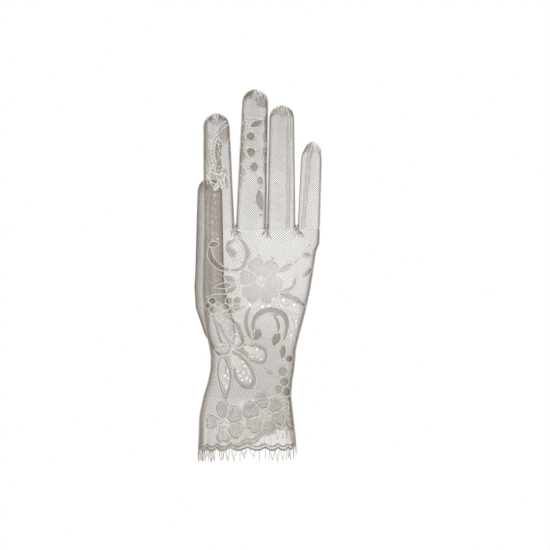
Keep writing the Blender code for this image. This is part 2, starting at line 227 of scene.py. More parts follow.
# The edge yarn's two colours are painted shade: the cord's ivory, darkened to a mid tone as the hem looks in
# shade.
EDGE_PAINTED_SHADE = thread("edge_yarn", (0.48, 0.43, 0.37, 1), (0.70, 0.65, 0.58, 1), 0.5, 1300.0, 0.3)
SATIN = thread("satin_stitch", (0.74, 0.70, 0.65, 1), (0.88, 0.86, 0.82, 1), 0.36, 1600.0, 0.3)
print("materials:", [m.name for m in (NET_PAINTED_SHADE, CORD, EDGE_PAINTED_SHADE, SATIN)])

# %% [markdown]
# ## The forms that the lace is stretched over
#
# The sleeve and each finger are tubes. Their widths, depths and middles are measured from the CAD
# skin by slicing it at a few levels, so the threads lie where the skin is, whatever its size.


# %% Measure a tube by slicing
UP, RIGHT = Vector((0, 0, 1)), Vector((1, 0, 0))
SIDE_EDGE = 0.985  # the most of the half width that the drawing reaches


def sliced(names, origin, along, level):
    """A section of the nodes in a plane square to along: its level, middles and halves, across and deep."""
    deep = along.cross(RIGHT)
    spots = []
    for name in names:
        mesh = frame["nodes"][name].data
        co = [v.co - origin for v in mesh.vertices]
        height = [c.dot(along) - level for c in co]
        for edge in mesh.edges:
            a, b = edge.vertices
            if height[a] * height[b] < 0:
                spot = co[a].lerp(co[b], height[a] / (height[a] - height[b]))
                spots.append((spot.dot(RIGHT), spot.dot(deep)))
    low, high = ([end(s[k] for s in spots) for k in (0, 1)] for end in (min, max))
    middles = [(a + b) / 2 for a, b in zip(low, high)]
    halves = [(b - a) / 2 for a, b in zip(low, high)]
    return (level, *middles, *halves)


class Form:
    """A tube of oval sections, each (level, middle across, middle deep, half across, half deep)."""

    def __init__(self, origin, along, sections, power):
        self.origin, self.along, self.across = origin, along, RIGHT
        self.deep = along.cross(RIGHT)
        self.sections, self.power = sections, power
        self.even = self.even_turns()
        self.mould = lambda place: place

    def section(self, level):
        table = self.sections
        for low, high in zip(table, table[1:]):
            if level <= high[0] or high is table[-1]:
                share = (level - low[0]) / (high[0] - low[0])
                return [a + (b - a) * share for a, b in zip(low, high)][1:]

    def even_turns(self, count=360):
        """Turns, evenly spaced along the outline rather than by angle."""
        _, _, wide, thick = self.section(self.sections[len(self.sections) // 2][0])
        lengths, last = [0.0], None
        for k in range(count + 1):
            x, y = self.rim(2 * math.pi * k / count)
            spot = Vector((x * wide, y * thick))
            if last is not None:
                lengths.append(lengths[-1] + (spot - last).length)
            last = spot
        return [length / lengths[-1] for length in lengths]

    def rim(self, turn):
        sides = math.cos(turn), math.sin(turn)
        return [math.copysign(abs(side) ** (2 / self.power), side) for side in sides]

    def turn_at(self, share):
        """The turn at a share of the way round the outline."""
        share, table = share % 1.0, self.even
        low, high = 0, len(table) - 1
        while high - low > 1:
            half = (low + high) // 2
            if table[half] <= share:
                low = half
            else:
                high = half
        part = (share - table[low]) / max(table[high] - table[low], 1e-9)
        return 2 * math.pi * (low + part) / (len(table) - 1)

    def place(self, level, x, y, lift):
        """The point at x and y, as shares of the half width and the half depth, lifted off the skin."""
        mid_x, mid_y, wide, thick = self.section(level)
        across = self.across * (mid_x + (wide + lift) * x)
        deep = self.deep * (mid_y + (thick + lift) * y)
        return self.mould(self.origin + across + deep + self.along * level)

    def point(self, turn, level, lift=0.0):
        """The point on the skin at a turn, where a quarter turn faces the palm."""
        return self.place(level, *self.rim(turn), lift)

    def drape(self, x, level, side, lift=0.0):
        """The point on the back (-1) or the palm (1) that is x across from the origin."""
        mid_x, _, wide, _ = self.section(level)
        u = max(-SIDE_EDGE, min(SIDE_EDGE, (x - mid_x) / wide))
        return self.place(level, u, side * (1 - abs(u) ** self.power) ** (1 / self.power), lift)

    def levels(self, start, end, step, fine=240):
        """Levels from start to end, spaced by about step along the skin, which is measured in fine steps."""
        run, table = 0.0, [(0.0, start)]
        last = self.section(start)
        for k in range(1, fine + 1):
            level = start + (end - start) * k / fine
            here = self.section(level)
            run += math.hypot((end - start) / fine, (here[2] - last[2] + here[3] - last[3]) / 2)
            table.append((run, level))
            last = here
        rows = max(2, round(run / step))
        found, k = [], 0
        for row in range(rows + 1):
            target = run * row / rows
            while k < fine - 1 and table[k + 1][0] < target:
                k += 1
            share = (target - table[k][0]) / (table[k + 1][0] - table[k][0])
            found.append(table[k][1] + (table[k + 1][1] - table[k][1]) * share)
        return found


# %% The sleeve's form
pivot = {j["name"]: j["pos_m"] for j in frame["joints"]}
WRIST = pivot["wrist_bend"][2]
WEB_DROP = 5.5 * MM
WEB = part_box("web_gusset_middle_ring")[0][2] + WEB_DROP
ABOVE_WRIST = (-29, -20, -11, -6, -3.5, 4, 8, 14, 22, 31, 45, 58, 70, 75, 78.3)  # clear of the CAD's gaps
BELOW_HEM = 30 * MM
BOXY = 2.3  # the sleeve's sections are a little squarer than an oval, whose power is 2


def sleeve_sections():
    nodes = ("cuff_back_panel", "wrist_gusset_back", "hand_back_panel")
    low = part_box("scalloped_edge")[1][2] + 0.3 * MM
    found = []
    for level in (low, low + 1.5 * MM, *(WRIST + d * MM for d in ABOVE_WRIST)):
        _, mid_x, mid_y, wide, thick = sliced(nodes, Vector(), UP, level)
        found.append((level, mid_x, 0.0, wide, thick - mid_y))
    base, above = found[:2]
    slope = [(a - b) / (above[0] - base[0]) for a, b in zip(above, base)]
    return [tuple(v - s * BELOW_HEM for v, s in zip(base, slope)), *found]


sleeve = Form(Vector(), UP, sleeve_sections(), BOXY)
print("sleeve:", [tuple(round(v / MM, 1) for v in s) for s in sleeve.sections][:4])

# %% The fingers' forms
FINGERS = ("index", "middle", "ring", "little")
SEGMENTS = ("root", "middle", "tip")
BENDS = ("knuckle", "middle", "end")
TIP_DEPTHS = (7.5, 4.4, 2.2, 0.9, 0.25)  # of the sections below a rounded tip


def draw_in(depth, reach=10 * MM, share=0.2):
    """How much of its width a tip keeps at a depth below its end."""
    return 1 - share * max(0.0, 1 - max(depth, 0.0) / reach) ** 0.7


def tip_end(last, top):
    """The small ring that ends a tube just past its top."""
    return (top + 0.1 * MM, *last[1:3], 0.4 * MM, 0.4 * MM)


def finger_form(name):
    nodes = [f"{name}_{s}_{side}" for s in SEGMENTS for side in ("back", "palm")]
    hinges = [pivot[f"{name}_{bend}_bend"][2] for bend in BENDS]
    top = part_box(f"{name}_tip_palm")[1][2]
    levels = [hinges[0] + 11 * MM, (hinges[0] + hinges[1]) / 2, hinges[1] - 2 * MM, hinges[1] + 12 * MM]
    levels += [hinges[2] - 3 * MM, hinges[2] + 6 * MM, *(top - d * MM for d in TIP_DEPTHS)]
    found = [sliced(nodes, Vector(), UP, level) for level in levels]
    first, second = found[:2]
    share = (first[0] - WEB + 4 * MM) / (second[0] - first[0])
    found.insert(0, tuple(a - (b - a) * share for a, b in zip(first, second)))
    found.append(tip_end(found[-1], top))
    if name == "little":  # its tip is the most drawn in
        lean = [0.6 * MM * (level > top - 5 * MM) for level, *_ in found]
        found = [
            (level, mid_x + aside, mid_y, *(half * draw_in(top - level) for half in halves))
            for aside, (level, mid_x, mid_y, *halves) in zip(lean, found)
        ]
    return Form(Vector(), UP, found, 2.0), hinges, top


fingers = {name: finger_form(name) for name in FINGERS}

# %% The sleeve's top meets the fingers
HAND_TOP = WEB - 1.2 * MM
MEETING = 15 * MM
CROTCH = 0.93  # how far round a finger's side the hand's net goes down between two fingers
bases = [fingers[name][0].section(HAND_TOP) for name in FINGERS]
BASE_LEFT, BASE_RIGHT = bases[0][0] - bases[0][2], bases[3][0] + bases[3][2]


def base_depth(x, side):
    """How deep the four fingers' bases, side by side, are at x on the back (-1) or the palm (1)."""
    between = bases[0][0] < x < bases[3][0]
    depths = []
    for mid_x, mid_y, wide, thick in bases:
        u = min(abs(x - mid_x) / wide, CROTCH if between else 1.0)
        depths.append(side * mid_y + thick * math.sqrt(1 - u * u))
    return side * max(depths) if between else side * depths[0 if x <= bases[0][0] else 3]


def to_fingers(place):
    """Moves a point of the sleeve so that its top runs into the fingers' outlines."""
    share = min((place.z - HAND_TOP) / MEETING + 1, 1.0)
    if share <= 0:
        return place
    share *= share * (3 - 2 * share)
    mid_x, _, wide, thick = sleeve.section(place.z)
    u = (place.x - mid_x) / wide
    side = math.copysign(1, place.y)
    skin = side * thick * (1 - min(abs(u), 1.0) ** sleeve.power) ** (1 / sleeve.power)
    x = (BASE_LEFT + BASE_RIGHT) / 2 + u * (BASE_RIGHT - BASE_LEFT) / 2
    return place + Vector((x - place.x, base_depth(x, side) - skin, 0)) * share


sleeve.mould = to_fingers
print("finger bases:", [tuple(round(v / MM, 1) for v in base) for base in bases])

# %% The thumb's form
THUMB_BASE = ((-53, 13, 6.5), (-35, 7, 10), (-17, 2, 10.4), (-3, 0, 9.3))  # level, inwards, half across
thumb_root = Vector(pivot["thumb_spread"])
thumb_run = Vector(pivot["thumb_end_bend"]) - thumb_root
thumb_along, THUMB_BEND = thumb_run.normalized(), thumb_run.length


def thumb_form():
    nodes = [f"thumb_{s}_{side}" for s in ("root", "tip") for side in ("outer", "inner")]
    corners = [v.co - thumb_root for n in nodes for v in frame["nodes"][n].data.vertices]
    top = max(c.dot(thumb_along) for c in corners)
    levels = [8 * MM, 20 * MM, THUMB_BEND - 12 * MM, THUMB_BEND + 12 * MM]
    levels += [top - d * MM for d in TIP_DEPTHS]
    found = [tuple(v * MM for v in (level, inwards, 0, half, half)) for level, inwards, half in THUMB_BASE]
    found += [sliced(nodes, thumb_root, thumb_along, level) for level in levels]
    return Form(thumb_root, thumb_along, [*found, tip_end(found[-1], top)], 2.0), top


thumb, THUMB_TOP = thumb_form()
print("thumb:", round(THUMB_BEND / MM, 1), round(THUMB_TOP / MM, 1))

# %% [markdown]
# ## The lace's drawing
#
# The drawing is made flat, in millimetres, as it looks on the back of the hand: x to the right and z
# up. A shape is an outline with a kind of filling. Petals are an open half-pitch net, scrolls and
# leaves a closer cloth, and the hearts of the big leaves are solid satin stitch.


# %% Drawing tools
def smooth(points, closed=False, step=0.8):
    """A Catmull-Rom curve through the points, as points about step apart."""
    pts = [Vector(p) for p in points]
    count = len(pts)
    found = []
    for k in range(count if closed else count - 1):
        if closed:
            a, b, c, d = (pts[(k + j) % count] for j in (-1, 0, 1, 2))
        else:
            b, c = pts[k], pts[k + 1]
            a = pts[k - 1] if k else b + (b - c)
            d = pts[k + 2] if k + 2 < count else c + (c - b)
        parts = max(1, round((c - b).length / step))
        for j in range(parts):
            t = j / parts
            bow = (2 * a - 5 * b + 4 * c - d) * t * t
            found.append(0.5 * (2 * b + (c - a) * t + bow + (3 * b - 3 * c + d - a) * t**3))
    if not closed:
        found.append(pts[-1])
    return found


SHAPES, STEMS, KNOTS = [], [], []


def shape(kind, *points, cord=True):
    outline = smooth(points, closed=True)
    xs, zs = [p[0] for p in outline], [p[1] for p in outline]
    SHAPES.append((kind, outline, min(xs), max(xs), min(zs), max(zs)))
    if cord:
        STEMS.append([*outline, outline[0]])


def turned(base, angle, along, across):
    turn = math.radians(angle)
    return (
        base[0] + along * math.cos(turn) - across * math.sin(turn),
        base[1] + along * math.sin(turn) + across * math.cos(turn),
    )


PETAL = ((0.0, 0.2), (0.3, 0.42), (0.62, 0.5), (0.86, 0.42), (1.0, 0.2), (0.93, 0.0))
LEAF = ((0.0, 0.0), (0.2, 0.36), (0.5, 0.5), (0.8, 0.3), (1.0, 0.0))
SIXTHS = range(0, 360, 60)


def petal(centre, angle, root, reach, width):
    half = [(root + (reach - root) * a, width * b) for a, b in PETAL]
    sides = half + [(a, -b) for a, b in half[-2::-1]]
    shape("petal", *(turned(centre, angle, a, b) for a, b in sides))


def leaf(base, tip, width, kind="cloth"):
    run = Vector(tip) - Vector(base)
    angle = math.degrees(math.atan2(run.y, run.x))
    half = [(run.length * a, width * b) for a, b in LEAF]
    sides = half + [(a, -b) for a, b in half[-2:0:-1]]
    shape(kind, *(turned(base, angle, a, b) for a, b in sides))


def blob(x, z, radius, kind="cloth"):
    shape(kind, *(turned((x, z), angle, radius, 0) for angle in SIXTHS))


def scroll(width, *points):
    """A band round a curved middle line, narrowing to its ends."""
    line = smooth(points, step=1.6)
    left, right = [], []
    for k, p in enumerate(line):
        run = line[min(k + 1, len(line) - 1)] - line[max(k - 1, 0)]
        side = Vector((-run.y, run.x)).normalized()
        half = width / 2 * min(1.0, 0.35 + 2.2 * min(k, len(line) - 1 - k) / len(line))
        left.append(p + side * half)
        right.append(p - side * half)
    shape("cloth", *left, *right[::-1])


def stem(*points):
    STEMS.append(smooth(points))


def star(x, z, radius):
    """Six spokes from a middle."""
    for angle in SIXTHS:
        STEMS.append(smooth([(x, z), turned((x, z), angle, radius, 0)], step=1.0))


def flower(centre, ring, *petals):
    """Petals given as (angle, reach, width) round an openwork ring with spokes in it."""
    x, z = centre
    scallops = [turned(centre, 30 * k, ring * (1.0 if k % 2 else 0.86), 0) for k in range(12)]
    eye = smooth(scallops, closed=True)
    STEMS.append([*eye, eye[0]])
    for angle, reach, width in petals:
        petal(centre, angle, ring * 0.98, reach, width)
        STEMS.append(smooth([centre, turned(centre, angle + 14, ring, 0)], step=1.0))
    KNOTS.extend([(x, z, 1.0), (x + 0.7, z + 0.2, 0.8), (x - 0.6, z - 0.3, 0.8)])


# %% The large flower, and the scrolls above it
flower((4.7, 105.2), 3.8, (112, 14.4, 10), (56, 14.2, 9.2), (-11, 13, 9), (-62, 14.8, 11),
    (-130, 14.8, 11.6), (169, 14.2, 10))
scroll(3.6, (-27.6, 126.4), (-26.8, 120.2), (-23.9, 115.9), (-19.6, 112.9), (-14.6, 112))
leaf((-28.4, 127), (-21.6, 128.6), 3.8)
scroll(2.8, (-15, 111.8), (-9.5, 112.4), (-5.8, 115.9), (-3.9, 121.2), (-5, 125.8), (-7.1, 129),
    (-10.2, 131.8))
shape("cloth", (-16.4, 129.5), (-17.8, 126), (-16.4, 122.3), (-13.8, 119.7), (-11.4, 121.5),
    (-11.6, 124.2), (-14.3, 125.8), (-15.1, 127.9), (-13.2, 129), (-11.1, 131.5))
stem((-13.2, 119.1), (-10.3, 114.8), (-3.6, 111.1), (1.5, 107.9))
stem((-15.4, 111.6), (-13, 107.6), (-10.3, 103.6), (-6.8, 102), (-1, 103.4))
stem((-12.6, 129.2), (-9.6, 128.6), (-6.9, 125.2), (-6.4, 120.6), (-8.6, 116.2))

# %% Leaves and berries beside the flower
leaf((-10.3, 103.6), (-18.9, 108.4), 4.4)
leaf((-10.3, 103.6), (-24.6, 101.2), 3.8)
leaf((-10.6, 103.2), (-17.7, 97), 3.6)
stem((-10, 103), (-9.6, 98.6), (-15.4, 96.8), (-21.8, 97.2), (-29.5, 95.4))
BERRIES = ((-25.8, 92.9, 2.4), (-15.6, 92.9, 2.3), (-10.6, 93.1, 2.4), (-17.5, 88.9, 2.4),
    (-25, 87.5, 2.7), (-10.8, 88.6, 2.6), (-28.6, 90, 2.1), (-22.3, 90.4, 1.8))
for x, z, radius in BERRIES:
    blob(x, z, radius)
leaf((-19.6, 84.9), (-6.6, 89), 3.4)
stem((-21.2, 84.7), (-24, 85), (-27.6, 83.6))
stem((-6.6, 89), (-4.6, 92.4), (-4.8, 95.8))

# %% Leaves and swirls on the right
leaf((14.6, 110.4), (23.6, 116.2), 3.6)
scroll(2, (15.3, 98.6), (20.4, 99.6), (24.1, 102.5), (25.3, 107.4))
scroll(3.4, (14.8, 97.2), (19.3, 96.5), (23.1, 94.9), (27.4, 92.4), (31.5, 89.6))
stem((22, 97.7), (26.3, 95.9), (31.1, 97.7))
shape("open", (11.6, 95), (16, 95.4), (22, 93), (27, 90.4), (28.6, 85.6), (24, 84.9), (19, 87.5),
    (14, 89.5), (10.2, 91.8))
for x, z in ((15.1, 92), (20.4, 90.6)):
    KNOTS.append((x, z, 1.5))
    star(x, z, 2.9)
shape("open", (-4.6, 93.4), (-1, 91.6), (4, 91.2), (9, 91), (9.6, 88.6), (4, 87.2), (-1, 88.4),
    (-4.2, 89.8), cord=False)
stem((24.8, 116.6), (29.6, 121.8), (33, 127))
leaf((29.6, 121.8), (35.2, 121), 3)
leaf((30.6, 108), (35.4, 113.6), 3)

# %% The arch and its stems, down to the wrist
scroll(3.4, (-0.9, 70.4), (-0.7, 76.9), (0.4, 82.3), (4.4, 85.9), (9.7, 87.3), (15.1, 86.2),
    (18.7, 83.3), (20.1, 78.5), (19.5, 73.2), (18, 68.4))
scroll(2.2, (11.3, 84.6), (14, 80.7), (14.9, 75.9), (13.6, 72.4))
leaf((15.2, 73.6), (11.6, 65), 5.6)
leaf((3, 75.6), (0.2, 68.2), 6.4)
scroll(2.6, (-3.1, 88.7), (-4.7, 83.3), (-5, 78), (-3.6, 72.6), (-0.7, 68.4))
scroll(2.8, (-20.7, 84.6), (-14.8, 81.9), (-10, 77), (-7.9, 71.2), (-7.2, 66.8), (-12.6, 63.4))
scroll(2.4, (-25, 82.5), (-21.2, 77.5), (-18, 71.6), (-15.7, 66.8), (-13.6, 63.4))
shape("open", (-20.4, 82.6), (-13.4, 79.4), (-10.4, 73), (-9.8, 67.6), (-13.4, 65.8), (-16.3, 71),
    (-19.4, 77), cord=False)
shape("open", (-25.6, 79), (-22.6, 75.4), (-19.8, 70.6), (-24, 69.6), (-26.6, 73.6), cord=False)
stem((-11.6, 72.6), (-14.4, 69.8), (-12.2, 67.2), (-9.6, 69.2), (-11.6, 72.6))
star(-20.3, 65.8, 3.2)
KNOTS.append((-20.3, 65.8, 1.4))
stem((-24, 63.2), (-20.6, 62.2), (-17, 63.2), (-16.4, 66.6))
scroll(2.8, (-24.4, 62), (-20.6, 59.6), (-17.2, 60.2), (-14.4, 62.8))
stem((22.6, 84), (24.6, 78), (24, 71), (25, 65))
shape("open", (20.6, 84.6), (25.6, 84.2), (26.4, 74), (24.6, 66), (21.4, 68), (22.2, 76), cord=False)

# %% The three great leaves at the wrist
shape("petal", (-13.9, 63), (-8.8, 63.8), (-4, 65.2), (0.8, 66.3), (5.6, 64.7), (8.4, 60.9), (8, 56.7),
    (5.1, 53.5), (0.8, 54.3), (-3.4, 56.4), (-8.8, 60.6))
shape("open", (-3.6, 57.6), (0.4, 56.4), (4.4, 56), (6, 60.2), (3.6, 63), (-0.4, 64.4))
leaf((-6.4, 64.6), (2.6, 59.8), 3.6, "satin")
shape("petal", (-13.6, 62.4), (-10.4, 61.5), (-4.5, 56.4), (-0.2, 50.3), (1.2, 44.4), (-0.8, 38.6),
    (-6.7, 38.8), (-10.9, 42.6), (-12.9, 47), (-12.4, 53.5))
shape("open", (-12.2, 58.6), (-7.4, 56.4), (-3.2, 50.4), (-1.6, 44), (-4.4, 41), (-8.6, 43.4),
    (-10.8, 48))
leaf((-13.4, 59.8), (-8, 49.6), 4.4, "satin")
shape("petal", (-17, 59.4), (-21.6, 56.7), (-22.8, 48.1), (-21.4, 40.1), (-18.9, 32.6), (-16.8, 31.8),
    (-15, 35.3), (-13.9, 41.7), (-13.5, 48.1), (-15.7, 54.5))
shape("open", (-19.6, 55.6), (-21.2, 48), (-20, 40.4), (-17.8, 36), (-15.8, 41.7), (-15.4, 48.1),
    (-17, 53.4))
leaf((-19.2, 57), (-20, 44.4), 3.6, "satin")

# %% The vine down the right of the cuff
stem((5.1, 53.5), (7.2, 50.8), (13.9, 45.5), (17.4, 45.6))
leaf((7.2, 49.6), (12.6, 46.8), 2.6)
for x, z, r in ((17.4, 49.3, 3.2), (18.2, 42.9, 3), (14.9, 38.4, 2.9), (19.6, 36.6, 3)):
    blob(x, z, r, "petal")
leaf((18.2, 65.8), (16.8, 56.6), 4)
blob(21.4, 57, 2.4)
stem((-0.8, 39.6), (5.1, 36.9), (7.8, 34.6), (8.6, 32))

# %% The two flowers at the hem
flower((6.7, 22.6), 4, (102, 13.4, 9), (42, 12.6, 8), (-17, 12.6, 8), (-75, 13.4, 9), (-136, 14.2, 10),
    (165, 14.2, 10))
flower((-18.9, 17), 3.7, (96, 13, 7.6), (37, 13, 9.6), (-33, 13, 9.4), (-92, 12, 9), (176, 11, 8))
stem((-18.6, 31.8), (-17, 29), (-13.4, 24.4))
stem((20.6, 24), (20.8, 30), (17.6, 35))

# %% The fingers' drawing
wave = [(-28.6, 200), (-27.4, 195), (-28.6, 190), (-27, 185), (-28.2, 180), (-26.8, 175), (-28.4, 170),
    (-27.2, 165)]
shape("petal", (-31.5, 201), *wave, (-31.5, 163.5), cord=False)
stem(*wave)
shape("petal", (-22, 201.5), (-17.6, 204), (-14.8, 200), (-15.4, 194), (-19, 190.5), (-22.4, 194.5))
shape("petal", (-27.2, 175), (-22, 173.4), (-17.4, 174.6), (-16.2, 168), (-18.4, 163.6), (-22, 166.4),
    (-26, 163.8))
wave = [(-5.6, 206), (-4.8, 201), (-6.2, 196.5), (-4.9, 192), (-6.4, 187), (-4.8, 182.6), (-6.6, 178),
    (-5, 173), (-6.6, 168.6)]
shape("petal", (-8.8, 207), *wave, (-8.6, 164), cord=False)
stem(*wave)
shape("petal", (7.9, 206), (4.9, 203.6), (6.2, 199), (4.6, 194.5), (6, 190), (4.4, 185.6), (5.8, 181),
    (4.6, 176), (6.2, 171), (7.9, 166), cord=False)
stem((4.9, 203.6), (5.8, 199), (4.6, 194.5), (5.6, 190), (4.4, 185.6), (5.4, 181), (4.6, 176), (5.6, 171))
shape("petal", (1.5, 216), (3.5, 224.5), (9, 222), (9.2, 214), (5, 213), cord=False)
stem((-17.9, 204.2), (-22.6, 199.4), (-27.6, 193.4))
stem((-16.2, 202.6), (-21.2, 197.4), (-26.8, 191.2))
stem((-27.1, 192.9), (-26, 188.6), (-26.6, 184), (-28.2, 181.4))
shape("cloth", (-23.2, 192.6), (-20.2, 191.4), (-19.8, 186), (-20.6, 180), (-19.6, 174),
    (-21.4, 170.4), (-24.2, 172.6), (-23.6, 178), (-24.6, 184), (-24, 189))
shape("petal", (-28.6, 183.4), (-26.6, 181.6), (-26.8, 177.4), (-28.8, 174.6), (-29.6, 179))
for k in range(9):
    z = 171.6 + 2.4 * k
    stem((-24.2, z), (-27.4 - 0.3 * (k % 2), z + 0.9))
stem((-24.8, 162), (-22, 164.4), (-19.6, 168.4), (-20.4, 171))
stem((-26.8, 166.6), (-23.2, 164.6), (-18.2, 161.6))
leaf((-18.2, 172), (-16.8, 162), 3)
leaf((-2.6, 200.6), (5.6, 204.6), 4.2)
stem((-7.4, 206.8), (-2, 206), (6.2, 205.2))
for x, z, w, h in ((-2.2, 194.7, 2.9, 3), (-2.2, 184.9, 3.1, 3.2), (-0.1, 175.7, 2.8, 3.2)):
    shape("cloth", (x, z + h), (x + w, z + 0.3), (x + 0.3, z - h), (x - w, z))
shape("cloth", (3.2, 170.2), (5.4, 168), (4.8, 164.6), (2.2, 165.4), (1.4, 168.4))
shape("cloth", (2.6, 161.8), (5, 158), (5.6, 152.6), (4.6, 148.6), (1.6, 152.2), (0.8, 157))
stem((-2.2, 197.8), (-0.4, 199.6), (3.6, 199.8))
stem((-1.9, 191.7), (-2.2, 188.4), (1.6, 186.2), (6.9, 185.6))
stem((6.8, 190.4), (3.4, 188.6), (2.6, 186.4))
stem((-2, 181.6), (-0.6, 178.8), (-0.1, 178.9))
stem((-8.2, 177.8), (-5.2, 175), (-2.9, 175.6))
stem((0, 172.4), (1.6, 170), (3.2, 170.2))
stem((4.6, 164.4), (3.4, 163), (2.6, 161.8))
stem((-8.6, 170.6), (-5.8, 168.8), (-7.4, 165))

# %% Fine outlines and knots
STRIDE = 1.9  # of a wandering outline


def meander(low, high, count, length):
    """Fine wandering outlines inside a box of the drawing, as in a crowded part of the lace."""
    for _ in range(count):
        x, z = random.uniform(low[0], high[0]), random.uniform(low[1], high[1])
        angle, points = random.uniform(0, 2 * math.pi), []
        for _ in range(length):
            points.append((x, z))
            angle += random.uniform(-1.3, 1.3)
            x = min(max(x + STRIDE * math.cos(angle), low[0]), high[0])
            z = min(max(z + STRIDE * math.sin(angle), low[1]), high[1])
        STEMS.append(smooth(points))


meander((-29.4, 163.5), (-18.6, 191.5), 9, 8)
meander((-24.5, 176), (-19.4, 192), 4, 7)
meander((-8.8, 196), (6.8, 206.5), 3, 6)
meander((-8.6, 172), (-3.6, 193), 3, 6)
meander((1.8, 172), (6.8, 196), 3, 6)
KNOTS.extend([(-24.5, 162.1, 1.3), (-23.1, 162.4, 1), (3.2, 146.8, 1.1), (4.6, 146.6, 0.9),
    (13.8, 165.2, 1.1), (14.8, 165, 0.8)])
KNOTS.extend([(-22.6, 131.6, 1), (2.4, 120.6, 1), (11.2, 119.8, 1.1), (22, 117.4, 1),
    (25.3, 108.2, 1.2), (33.6, 127.6, 1.1)])
print("drawing:", len(SHAPES), "shapes,", len(STEMS), "cords,", len(KNOTS), "knots")


# %% Which filling a spot has
def inside(outline, x, z):
    hit = False
    for a, b in zip(outline, outline[1:] + outline[:1]):
        if (a[1] > z) != (b[1] > z) and x < a[0] + (z - a[1]) / (b[1] - a[1]) * (b[0] - a[0]):
            hit = not hit
    return hit


def filling(x, z):
    """The kind of filling at a spot of the drawing, the last drawn first."""
    for kind, outline, low_x, high_x, low_z, high_z in reversed(SHAPES):
        if low_x <= x <= high_x and low_z <= z <= high_z and inside(outline, x, z):
            return kind
    return "ground"


# %% [markdown]
# ## From a tube of quads to a net
#
# A machine-made net is a mesh of diamonds. An open tube is cut into a grid, a point is poked into the
# middle of each square, and the square's own edges are dissolved, which leaves diamonds all round
# with no seam. Then the diamonds inside a shape are cut finer, and every edge becomes a thread.

# %% Build a tube of diamonds
PITCH = 1.4 * MM
THREAD = 0.24 * MM
STRETCH = 1.25  # the lace is cut smaller than the hand that stretches it


def diamond_tube(form, rows, columns, warp=None, free_ends=()):
    """A tube of diamonds on a form. rows are its levels, and warp moves a point of the first rows.

    A free end (0 the low one, 1 the high one) ends in whole diamonds, with no thread along its rim.
    """
    columns = 2 * round(columns / 2)  # the back's and the palm's diamonds then lie behind each other
    bm = bmesh.new()
    bmesh.ops.create_cone(bm, cap_ends=False, segments=columns, radius1=1, radius2=1, depth=1)
    upright = [e for e in bm.edges if abs(e.verts[0].co.z - e.verts[1].co.z) > 0.5]
    bmesh.ops.subdivide_edges(bm, edges=upright, cuts=len(rows) - 2)
    sides = list(bm.edges)
    bmesh.ops.poke(bm, faces=bm.faces)
    bmesh.ops.dissolve_edges(bm, edges=[e for e in sides if not e.is_boundary], use_verts=False)
    rims = [f for f in bm.faces if len(f.verts) == 3 and int(f.calc_center_median().z > 0) in free_ends]
    bmesh.ops.delete(bm, geom=rims, context="FACES")
    for v in bm.verts:
        share = math.atan2(v.co.y, v.co.x) / (2 * math.pi)
        row = (v.co.z + 0.5) * (len(rows) - 1)
        k = min(int(row), len(rows) - 2)
        level = rows[k] + (rows[k + 1] - rows[k]) * (row - k)
        turn = form.turn_at(share)
        v.co = form.point(turn, warp(turn, level) if warp else level)
    return bm


CODES = {"ground": 0, "petal": 1, "cloth": 2, "satin": 2, "open": 4}
YARNS = (((0, 4), THREAD), ((1,), 0.175 * MM), ((2,), 0.145 * MM))  # codes, and the thickness of their thread
FINER = ((1, 1), (2, 2))  # codes, and the number of cuts in each edge of a diamond


def fill_in(bm, kind_at):
    """Marks each face's kind, opens the openwork and cuts the rest finer."""
    layer = bm.faces.layers.int.new("kind")
    for f in bm.faces:
        f[layer] = CODES[kind_at(f.calc_center_median())]
    inner = [v for v in bm.verts if not v.is_boundary and len(v.link_faces) == 4]
    taken, chosen = set(), []
    for v in (v for v in inner if all(f[layer] == CODES["open"] for f in v.link_faces)):
        near = {other for f in v.link_faces for other in f.verts}
        if not near & taken:
            chosen.append(v)
            taken |= near
    bmesh.ops.dissolve_verts(bm, verts=chosen)
    for code, cuts in FINER:
        edges = {e for f in bm.faces if f[layer] == code and len(f.edges) == 4 for e in f.edges}
        if edges:
            bmesh.ops.subdivide_edges(bm, edges=list(edges), cuts=cuts, use_grid_fill=True)


# %% Turn one zone of the net into threads
def piece(name, mesh, material):
    mesh.materials.clear()
    mesh.materials.append(material)
    obj = new_object(name, mesh)
    return obj


def to_mesh(bm, name):
    mesh = bpy.data.meshes.new(name)
    bm.to_mesh(mesh)
    bm.free()
    return mesh


def to_threads(bm, thickness):
    """Every edge becomes a thread."""
    bmesh.ops.wireframe(
        bm, faces=bm.faces, thickness=thickness, use_replace=True, use_boundary=True, use_even_offset=False
    )


def net_piece(whole, name, belongs, width):
    """The faces of a net for which belongs(centre) is true, as threads. Its width is not used."""
    area = 0.0
    threads = bmesh.new()
    for codes, thickness in YARNS:
        bm = whole.copy()
        layer = bm.faces.layers.int["kind"]
        others = [f for f in bm.faces if f[layer] not in codes or not belongs(f.calc_center_median())]
        bmesh.ops.delete(bm, geom=others, context="FACES")
        area += sum(f.calc_area() for f in bm.faces)
        to_threads(bm, thickness)
        step = to_mesh(bm, "step")
        threads.from_mesh(step)
        bpy.data.meshes.remove(step)
    obj = piece(name, to_mesh(threads, name), NET_PAINTED_SHADE)
    print(f"{name}: {len(obj.data.polygons) * 2} triangles over {area * 1e6:.0f} mm2")
    cut = area / STRETCH
    cut / width
    return obj


# %% [markdown]
# ## Cords, knots and stitches
#
# A raised cord runs round every shape. It is a curve with a round bevel, turned into a mesh, laid a
# thread's height above the net. A path that crosses from one zone of the glove to the next is cut
# there, so that each length is held with its own zone.


# %% Cord from paths
RADII = {"cord": 0.27, "seam": 0.19, "gather": 0.17, "stitch": 0.18, "edge": 0.3, "lash": 0.16}  # mm
PICOT_RADIUS, KNOT_RADIUS = 0.55 * MM, 0.5 * MM


